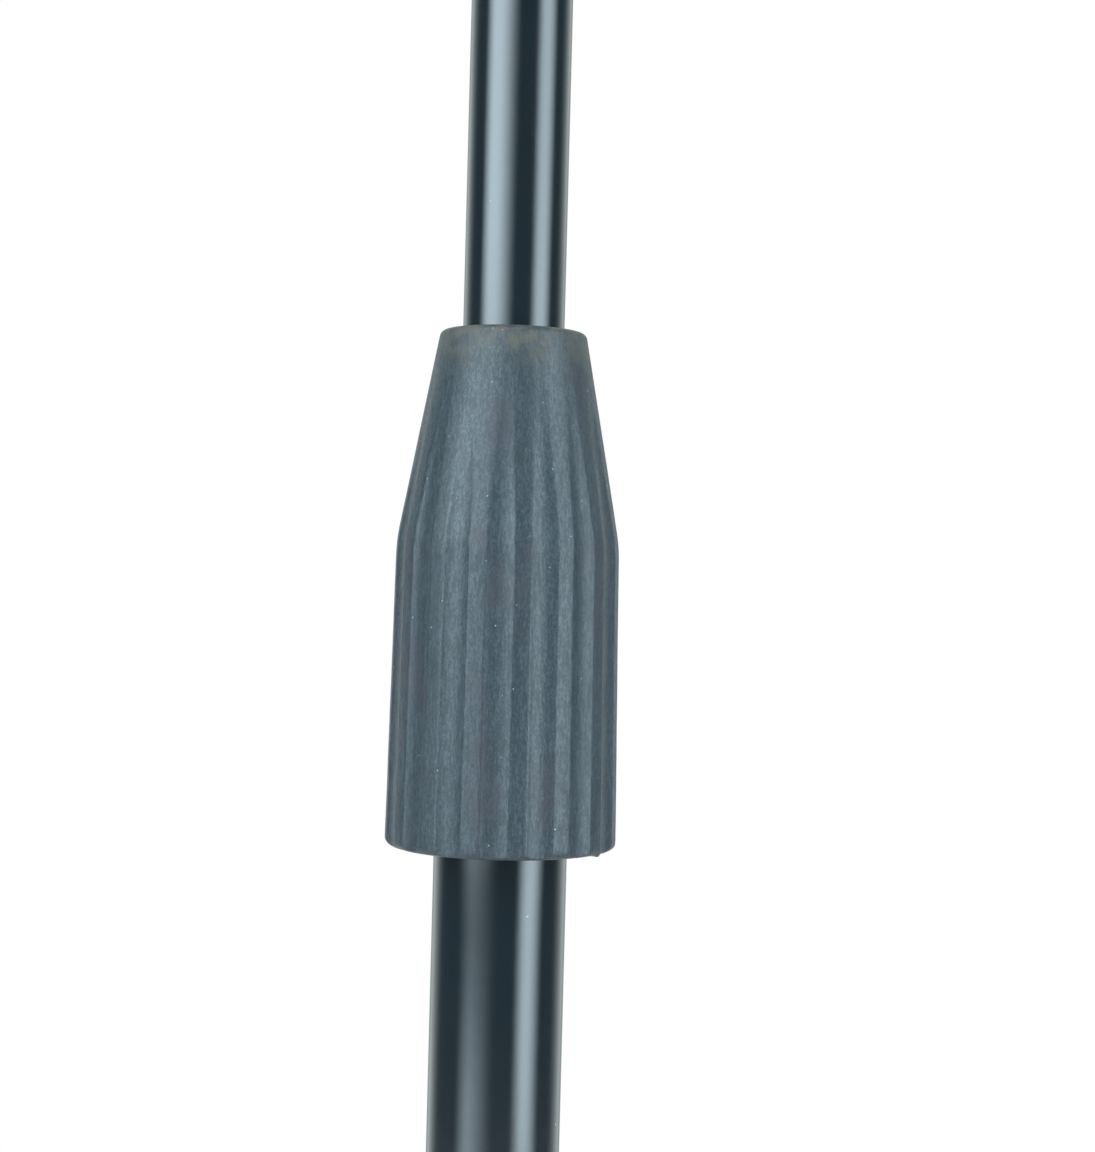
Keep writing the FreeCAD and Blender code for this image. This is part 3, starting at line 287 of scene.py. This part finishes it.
def make_lamp():
    """A broad soft lamp overhead, which gives the floor a faint shadow."""
    data = bpy.data.lights.new("top_panel", "AREA")
    data.energy = LAMP_POWER
    data.shape = "RECTANGLE"
    data.size, data.size_y = LAMP_SIZE
    lamp = bpy.data.objects.new("top_panel", data)
    lamp.location = LAMP_PLACE
    lamp.rotation_euler = (Vector(LAMP_AIM) - lamp.location).to_track_quat("-Z", "Y").to_euler()
    lamp.visible_camera = False
    scene.collection.objects.link(lamp)


# Materials


class Surface(Shader):
    """A material with a Principled shader, textured in the object's own coordinates."""

    INPUTS = {
        "colour": "Base Color",
        "metal": "Metallic",
        "rough": "Roughness",
        "normal": "Normal",
        "coat": "Coat Weight",
        "coat_rough": "Coat Roughness",
        "coat_normal": "Coat Normal",
        "sheen": "Sheen Weight",
        "sheen_rough": "Sheen Roughness",
        "sheen_tint": "Sheen Tint",
        "specular": "Specular IOR Level",
        "scatter": "Subsurface Weight",
        "scatter_scale": "Subsurface Scale",
    }

    def __init__(self, name):
        self.material = bpy.data.materials.new(name)
        super().__init__(self.material)
        self.place = self.add("ShaderNodeTexCoord").outputs["Object"]

    def height(self):
        """Height in the object's own coordinates, in metres."""
        return self.add("ShaderNodeSeparateXYZ", {0: self.place}).outputs[2]

    def noise(self, size, detail=2.0, stretch=EVEN, roughness=0.5, shift=0.0):
        """Noise with features of a size in millimetres, longer along an axis whose stretch is below 1.

        A shift moves it, so that it differs from another noise of that size.
        """
        vector = self.add("ShaderNodeMapping", {"Vector": self.place, "Scale": stretch}).outputs[0]
        if shift:
            vector = self.add("ShaderNodeVectorMath", {0: vector, 1: (shift, shift, shift)}).outputs[0]
        inputs = {"Vector": vector, "Scale": 1 / (size * MM), "Detail": detail, "Roughness": roughness}
        return self.add("ShaderNodeTexNoise", inputs).outputs[0]

    def specks(self, size, spot, share):
        """Mask of scattered spots: cells of a size in millimetres, of which a share hold a spot."""
        cells = self.add("ShaderNodeTexVoronoi", {"Vector": self.place, "Scale": 1 / (size * MM)})
        near = self.ramp(cells.outputs["Distance"], spot, SPOT_CORE * spot)
        pick = self.add("ShaderNodeSeparateColor", {0: cells.outputs["Color"]}).outputs[0]
        return self.times(near, self.math("LESS_THAN", pick, share))

    def bump(self, height, depth, normal=None):
        """Normal of a surface raised by a height from 0 to 1 times a depth in millimetres."""
        inputs = {"Height": height, "Distance": depth * MM, "Strength": 1.0}
        if normal is not None:
            inputs["Normal"] = normal
        return self.add("ShaderNodeBump", inputs).outputs[0]

    def edges(self, radius):
        """Mask of the outer edges, where the rounded normal leaves the true one."""
        rounded_normal = self.add("ShaderNodeBevel", {"Radius": radius * MM}, samples=EDGE_SAMPLES).outputs[0]
        true_normal = self.add("ShaderNodeNewGeometry").outputs["Normal"]
        both = {0: rounded_normal, 1: true_normal}
        likeness = self.add("ShaderNodeVectorMath", both, operation="DOT_PRODUCT").outputs["Value"]
        return self.ramp(likeness, *EDGE_LIKENESS)

    def finish(self, **inputs):
        given = {}
        for name, value in inputs.items():
            is_colour = isinstance(value, tuple)
            given[self.INPUTS[name]] = (*value, 1.0) if is_colour else value
        shader = self.add("ShaderNodeBsdfPrincipled", given)
        self.add("ShaderNodeOutputMaterial", {0: shader.outputs[0]})
        return self.material


def gloss_black_tube():
    """Gloss enamel on steel tube: nearly smooth, with faint draw lines, hair scratches and dust."""
    dark, light = (0.0065, 0.0105, 0.0135), (0.0095, 0.0145, 0.0185)
    dust = (0.30, 0.35, 0.38)
    s = Surface("gloss_black_tube")
    film = s.mix(s.noise(22.0, 3.0), dark, light)
    specks = s.math("MAXIMUM", s.specks(5.2, 0.045, 0.34), s.specks(2.6, 0.030, 0.10))
    colour = s.mix(specks, film, dust)
    hairs = s.ramp(s.noise(0.9, stretch=(1, 1, 0.03)), 0.60, 0.72)
    rough = s.plus(s.ramp(s.noise(14.0), 0.3, 0.7, 0.115, 0.165), s.times(hairs, 0.06))
    rough = s.plus(rough, s.times(specks, 0.4))
    normal = s.bump(s.noise(2.4, 1.0, (1, 1, 0.5)), 0.012)
    return s.finish(colour=colour, rough=rough, normal=normal, coat=1.0, coat_rough=0.10, coat_normal=normal)


def satin_black_steel():
    """Powder coat: fine orange peel, thin worn edges and a little dust."""
    dark, light = (0.0115, 0.0122, 0.0132), (0.0175, 0.0184, 0.0195)
    grain_top = (0.040, 0.042, 0.044)
    bare, dust = (0.23, 0.23, 0.225), (0.26, 0.26, 0.25)
    s = Surface("satin_black_steel")
    grain = s.noise(0.7, 3.0, roughness=0.65)
    coat = s.mix(s.noise(30.0, 3.0), dark, light)
    coat = s.mix(s.ramp(grain, 0.35, 0.75, 0.0, 0.70), coat, grain_top)
    worn = s.times(s.edges(0.7), s.ramp(s.noise(5.0, 4.0, roughness=0.7), 0.50, 0.66))
    colour = s.mix(worn, coat, bare)
    colour = s.mix(s.times(s.specks(6.0, 0.05, 0.25), 0.7), colour, dust)
    smudge = s.ramp(s.noise(45.0, 3.0), 0.35, 0.7, 0.42, 0.54)
    rough = s.minus(smudge, s.times(worn, 0.12))
    normal = s.bump(grain, 0.040, s.bump(s.noise(1.8, 1.0), 0.050))
    return s.finish(colour=colour, rough=rough, normal=normal, metal=s.times(worn, 0.85), specular=0.22)


def slate_rubber():
    """Moulded slate rubber: fibrous upright grain, pale specks, smudges and dust under the upper rim."""
    dark, light = (0.024, 0.034, 0.041), (0.034, 0.047, 0.056)
    deep, pale = (0.008, 0.012, 0.015), (0.060, 0.081, 0.095)
    streak_colour, stain_colour = (0.019, 0.025, 0.031), (0.048, 0.043, 0.054)
    rim_dust, speck_colour = (0.104, 0.096, 0.074), (0.42, 0.49, 0.52)
    s = Surface("slate_rubber")
    height = s.minus(s.height(), GRIP_Z * MM)
    grain = s.noise(0.34, 3.0, (1, 1, 0.50), 0.80)
    fibre = s.noise(0.60, 3.0, (1, 1, 0.22), 0.70, 5.3)
    streak = s.noise(1.3, 3.0, (1, 1, 0.09), 0.6, 3.1)
    cloud = s.noise(9.0, 3.0, (1, 1, 0.55), 0.6)
    fleck = s.plus(s.ramp(grain, 0.30, 0.70, 0.0, 0.6), s.ramp(fibre, 0.34, 0.66, 0.0, 0.4))
    base = s.mix(cloud, dark, light)
    base = s.mix(s.ramp(fleck, 0.25, 0.90, 0.0, 0.90), s.mix(0.20, base, deep), pale)
    base = s.mix(s.ramp(streak, 0.52, 0.68, 0.0, 0.30), base, streak_colour)
    stain = s.ramp(s.noise(7.0, 2.0, (1, 1, 0.4), 0.5, 7.7), 0.54, 0.70, 0.0, 0.45)
    base = s.mix(stain, base, stain_colour)
    near_rim = s.ramp(height, *(level * MM for level in RIM_DUST))
    dusty = s.times(near_rim, s.ramp(s.noise(2.6, 4.0, shift=1.7), 0.36, 0.70, 0.20, 0.95))
    base = s.mix(dusty, base, rim_dust)
    specks = s.math("MAXIMUM", s.specks(1.9, 0.075, 0.22), s.specks(4.5, 0.050, 0.30))
    base = s.mix(s.times(specks, 0.75), base, speck_colour)
    rough = s.minus(s.ramp(cloud, 0.3, 0.7, 0.43, 0.51), s.times(fleck, 0.17))
    rough = s.plus(rough, s.times(dusty, 0.22))
    pits = s.bump(grain, 0.048)
    normal = s.bump(s.noise(0.9, 2.0, (1, 1, 0.3)), 0.028, pits)
    sheen = {"sheen": 0.05, "sheen_rough": 0.35, "sheen_tint": (0.80, 0.93, 1.0)}
    return s.finish(colour=base, rough=rough, normal=normal, specular=0.55, **sheen)


def black_rubber():
    """Black rubber of the feet, greyed and scuffed near the floor."""
    dark, light = (0.016, 0.0165, 0.017), (0.029, 0.030, 0.031)
    scuff, dust = (0.105, 0.100, 0.092), (0.2, 0.2, 0.19)
    s = Surface("black_rubber")
    cloud = s.noise(8.0, 3.0)
    base = s.mix(cloud, dark, light)
    near_floor = s.ramp(s.height(), *(level * MM for level in SCUFF))
    scuffed = s.times(near_floor, s.ramp(s.noise(2.2, 4.0), 0.42, 0.70))
    base = s.mix(s.times(scuffed, 0.7), base, scuff)
    base = s.mix(s.times(s.specks(3.0, 0.07, 0.2), 0.6), base, dust)
    normal = s.bump(s.noise(0.35), 0.03, s.bump(s.noise(2.0), 0.03))
    return s.finish(colour=base, rough=s.ramp(cloud, 0.3, 0.7, 0.62, 0.80), normal=normal, specular=0.4)


def moulded(name, dark, light, worn, rough, **extra):
    """Moulded nylon: spark-eroded grain, flow marks and slightly polished edges."""
    dust = tuple(0.5 * (channel + 0.5) for channel in worn)
    s = Surface(name)
    cloud = s.noise(12.0, 3.0)
    grain = s.noise(0.42)
    base = s.mix(cloud, dark, light)
    base = s.mix(s.ramp(grain, 0.40, 0.72, 0.0, 0.35), base, worn)
    rubbed = s.times(s.edges(0.6), s.ramp(s.noise(3.0, 3.0), 0.40, 0.66, 0.1, 0.8))
    base = s.mix(rubbed, base, worn)
    base = s.mix(s.times(s.specks(4.0, 0.05, 0.22), 0.6), base, dust)
    level = s.minus(s.ramp(cloud, 0.3, 0.7, rough - 0.05, rough + 0.06), s.times(rubbed, 0.12))
    normal = s.bump(grain, 0.045, s.bump(s.noise(6.0, 1.0), 0.04))
    return s.finish(colour=base, rough=level, normal=normal, specular=0.36, **extra)


def black_nylon():
    dark, light, worn = (0.014, 0.0145, 0.015), (0.022, 0.023, 0.024), (0.060, 0.061, 0.062)
    return moulded("black_nylon", dark, light, worn, 0.46)


def white_nylon():
    dark, light, worn = (0.60, 0.59, 0.55), (0.74, 0.73, 0.69), (0.82, 0.81, 0.78)
    return moulded("white_nylon", dark, light, worn, 0.42, scatter=0.15, scatter_scale=0.002)


def bare_metal(name, dark, light, tarnish, rough):
    """Plated or turned metal with fine lines and some tarnish."""
    s = Surface(name)
    lines = s.noise(0.35, stretch=(1, 1, 0.12))
    cloud = s.noise(3.0, 4.0, roughness=0.65)
    base = s.mix(cloud, dark, light)
    base = s.mix(s.ramp(s.noise(1.6, 4.0, shift=5.0), 0.55, 0.75, 0.0, 0.6), base, tarnish)
    level = s.plus(s.ramp(cloud, 0.3, 0.7, rough, rough + 0.12), s.times(lines, 0.08))
    return s.finish(colour=base, metal=1.0, rough=level, normal=s.bump(lines, 0.012))


def zinc_steel():
    dark, light, tarnish = (0.46, 0.47, 0.48), (0.66, 0.66, 0.65), (0.30, 0.29, 0.28)
    return bare_metal("zinc_steel", dark, light, tarnish, 0.26)


def brass_insert():
    dark, light, tarnish = (0.55, 0.37, 0.14), (0.78, 0.57, 0.26), (0.30, 0.20, 0.09)
    return bare_metal("brass_insert", dark, light, tarnish, 0.24)


def make_materials():
    """One material for each of the record's material slots, under the slot's name."""
    makers = (
        gloss_black_tube,
        satin_black_steel,
        slate_rubber,
        black_rubber,
        black_nylon,
        white_nylon,
        zinc_steel,
        brass_insert,
    )
    return {make.__name__: make() for make in makers}


# Pieces in mesh code


def new_piece(name, b, body, slot, replaced):
    """Finishes a bmesh drawn in metres as a piece on a CAD body, in the place of a CAD node."""
    bmesh.ops.recalc_face_normals(b, faces=b.faces)
    mesh = bpy.data.meshes.new(name)
    b.to_mesh(mesh)
    b.free()
    for polygon in mesh.polygons:
        polygon.use_smooth = True
    piece = bpy.data.objects.new(name, mesh)
    scene.collection.objects.link(piece)
    mesh.materials.append(materials[slot])
    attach(piece, body)
    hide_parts(replaced)


def rounded(corners, radii, steps):
    """Points along a line of corners, each corner rounded to its radius in a number of steps."""
    line = []
    for i, (corner, radius) in enumerate(zip(corners, radii)):
        here = Vector(corner)
        if not radius or i in (0, len(corners) - 1):
            line.append(here)
            continue
        back = (Vector(corners[i - 1]) - here).normalized()
        ahead = (Vector(corners[i + 1]) - here).normalized()
        half = back.angle(ahead) / 2
        setback = radius / math.tan(half)
        centre = here + (back + ahead).normalized() * (radius / math.sin(half))
        start = here + back * setback - centre
        end = here + ahead * setback - centre
        sweep = math.pi - 2 * half
        for k in range(steps + 1):
            share = k / steps
            arm = start * math.sin((1 - share) * sweep) + end * math.sin(share * sweep)
            line.append(centre + arm / math.sin(sweep))
    return line


def divided(line, longest):
    """The same line with its long runs divided."""
    out = [line[0]]
    for a, b in zip(line, line[1:]):
        parts = max(1, math.ceil((b - a).length / longest))
        out += [a.lerp(b, k / parts) for k in range(1, parts + 1)]
    return out


def new_vertex(b, radius, angle, height):
    """Vertex at a place given in millimetres and radians around the column."""
    return b.verts.new((radius * math.cos(angle) * MM, radius * math.sin(angle) * MM, height * MM))


def close_rings(b, rings):
    """Faces between successive rings of vertices, and between the last and the first."""
    for low, high in zip(rings, rings[1:] + rings[:1]):
        for i in range(len(low)):
            j = (i + 1) % len(low)
            b.faces.new((low[i], low[j], high[j], high[i]))


def tube(name, outer, bore, low, high, body, node):
    """Tube with its cut rims slightly rounded. Its outline starts and ends half way up the bore."""
    middle = (bore, (low + high) / 2)
    corners = [middle, (bore, low), (outer, low), (outer, high), (bore, high), middle]
    radii = [0, TUBE_EDGE, TUBE_EDGE, TUBE_EDGE, TUBE_EDGE, 0]
    line = divided(rounded(corners, radii, TUBE_RIM_STEPS)[:-1], TUBE_RING_GAP)
    angles = [2 * math.pi * i / TUBE_SEGMENTS for i in range(TUBE_SEGMENTS)]
    b = bmesh.new()
    close_rings(b, [[new_vertex(b, r, angle, z) for angle in angles] for r, z in line])
    new_piece(name, b, body, "gloss_black_tube", node)


def flute_floor(z):
    """Radius of the deepest line of a flute, and the tilt factor of its cutter, at a height."""
    low = GRIP_BOTTOM_R - FLUTE_DEPTH
    mid = GRIP_SHOULDER_R - FLUTE_DEPTH
    cone_fall = (GRIP_SHOULDER_R - GRIP_TOP_R) / (GRIP_HEIGHT - GRIP_SHOULDER)
    end = GRIP_SHOULDER_R - cone_fall * (FLUTE_TOP - GRIP_SHOULDER)
    slope = (end - mid) / (FLUTE_TOP - GRIP_SHOULDER)
    straight = low + (mid - low) * z / GRIP_SHOULDER
    sloping = mid + slope * (z - GRIP_SHOULDER)
    if straight < sloping:
        return straight, 1.0
    return sloping, 1 / math.cos(math.atan(slope))


def flute_half(r, floor, tilt):
    """Half angle of a flute where it breaks the surface."""
    if floor >= r:
        return 0.0
    reach = FLUTE_R * tilt
    centre = floor + reach
    return math.acos(min(1.0, (r * r + centre * centre - reach * reach) / (2 * r * centre)))


def softest(a, b, width):
    """The lesser of two radii, blended over a width."""
    h = max(width - abs(a - b), 0.0) / width
    return min(a, b) - h * h * width / 4


def fluted_radius(r, z, offset, floor, tilt):
    """Radius of the fluted side at an angle from a flute's middle."""
    reach = FLUTE_R * tilt
    centre = floor + reach
    inside = reach * reach - (centre * math.sin(offset)) ** 2
    if inside <= 0:
        return r
    cut = centre * math.cos(offset) - math.sqrt(inside)
    up = min(max((z - GRIP_SHOULDER) / (FLUTE_TOP - GRIP_SHOULDER), 0.0), 1.0)
    return softest(r, cut, FLUTE_SOFT_LOW + (FLUTE_SOFT_TOP - FLUTE_SOFT_LOW) * up)


def unevenness(radius, angle, z):
    """How far the moulded side stands out at a place."""
    spot = Vector((radius * math.cos(angle), radius * math.sin(angle), z))
    broad = BROAD_WAVE[0] * noise.noise(spot * BROAD_WAVE[1])
    fine = FINE_WAVE[0] * noise.noise(spot * FINE_WAVE[1] + Vector(FINE_WAVE_SHIFT))
    return broad + fine


def nub_drop(angle, radius, z):
    """How far the speck of flash hangs down from the lower rim."""
    across = math.remainder(angle - math.radians(NUB_TURN), 2 * math.pi) * NUB_RADIUS
    far = across * across + (radius - NUB_RADIUS) ** 2 + (z - NUB_HEIGHT) ** 2
    return NUB_LENGTH * math.exp(-far / NUB_SIZE**2)


def grip_outlines():
    """Outside of the grip from its lower to its upper rim, and its inside back down around the nut."""
    top_bore = (GRIP_TOP_BORE_R, GRIP_HEIGHT)
    low_bore = (GRIP_LOW_BORE_R, 0.0)
    side = [(GRIP_BOTTOM_R, 0), (GRIP_SHOULDER_R, GRIP_SHOULDER), (GRIP_TOP_R, GRIP_HEIGHT)]
    radii = [0, GRIP_RIM, GRIP_SHOULDER_FILLET, GRIP_RIM, 0]
    outside = divided(rounded([low_bore, *side, top_bore], radii, GRIP_ROUND_STEPS), GRIP_RING_GAP)
    around_nut = [
        top_bore,
        (GRIP_TOP_BORE_R, NUT_TOP),
        (NUT_TOP_R, NUT_TOP),
        (NUT_R, NUT_SHOULDER),
        (NUT_R, NUT_LOW),
        (GRIP_LOW_BORE_R, NUT_LOW),
        low_bore,
    ]
    inside = divided([Vector(point) for point in around_nut], GRIP_INSIDE_GAP)[1:-1]
    return outside, inside


def grip_ring(b, r, z, fluted):
    """Ring of vertices round the grip. Its columns follow the flutes' edges, so the edges stay crisp."""
    pitch = 2 * math.pi / FLUTES
    floor, tilt = flute_floor(z)
    half = flute_half(r, floor, tilt) if fluted else 0.0
    width = min(max(half, FLUTE_NARROWEST * pitch / 2), FLUTE_WIDEST * pitch / 2)
    offsets = [-share * width for share in reversed(FLUTE_COLUMNS[1:])]
    offsets += [share * width for share in FLUTE_COLUMNS]
    offsets += [width + share * (pitch - 2 * width) for share in LAND_COLUMNS]
    ring = []
    for k in range(FLUTES):
        middle = math.radians(FLUTE_PHASE - 90.0) + k * pitch
        for offset in offsets:
            angle = middle + offset
            radius, drop = r, 0.0
            if fluted:
                from_middle = offset if offset <= width else offset - pitch
                radius = fluted_radius(r, z, from_middle, floor, tilt)
                radius += unevenness(radius, angle, z)
                drop = nub_drop(angle, radius, z)
            ring.append(new_vertex(b, radius, angle, z + GRIP_Z - drop))
    return ring


def grip():
    """Ribbed rubber grip."""
    outside, inside = grip_outlines()
    b = bmesh.new()
    rings = [grip_ring(b, r, z, fluted=True) for r, z in outside]
    rings += [grip_ring(b, r, z, fluted=False) for r, z in inside]
    close_rings(b, rings)
    new_piece("clutch_grip_rubber", b, "twist_grip", "slate_rubber", "clutch_grip")


# The scene

make_camera()
make_world()
make_floor()
make_lamp()
materials = make_materials()

slot_of = {row["node"]: row["material_slot"] for row in frame["record"]["subparts"]}
for name, node in nodes.items():
    node.data.materials.clear()
    node.data.materials.append(materials[slot_of[name]])

tube("lower_tube_enamel", **LOWER_TUBE, body="root", node="lower_tube")
tube("upper_tube_enamel", **UPPER_TUBE, body="column", node="upper_tube")
grip()
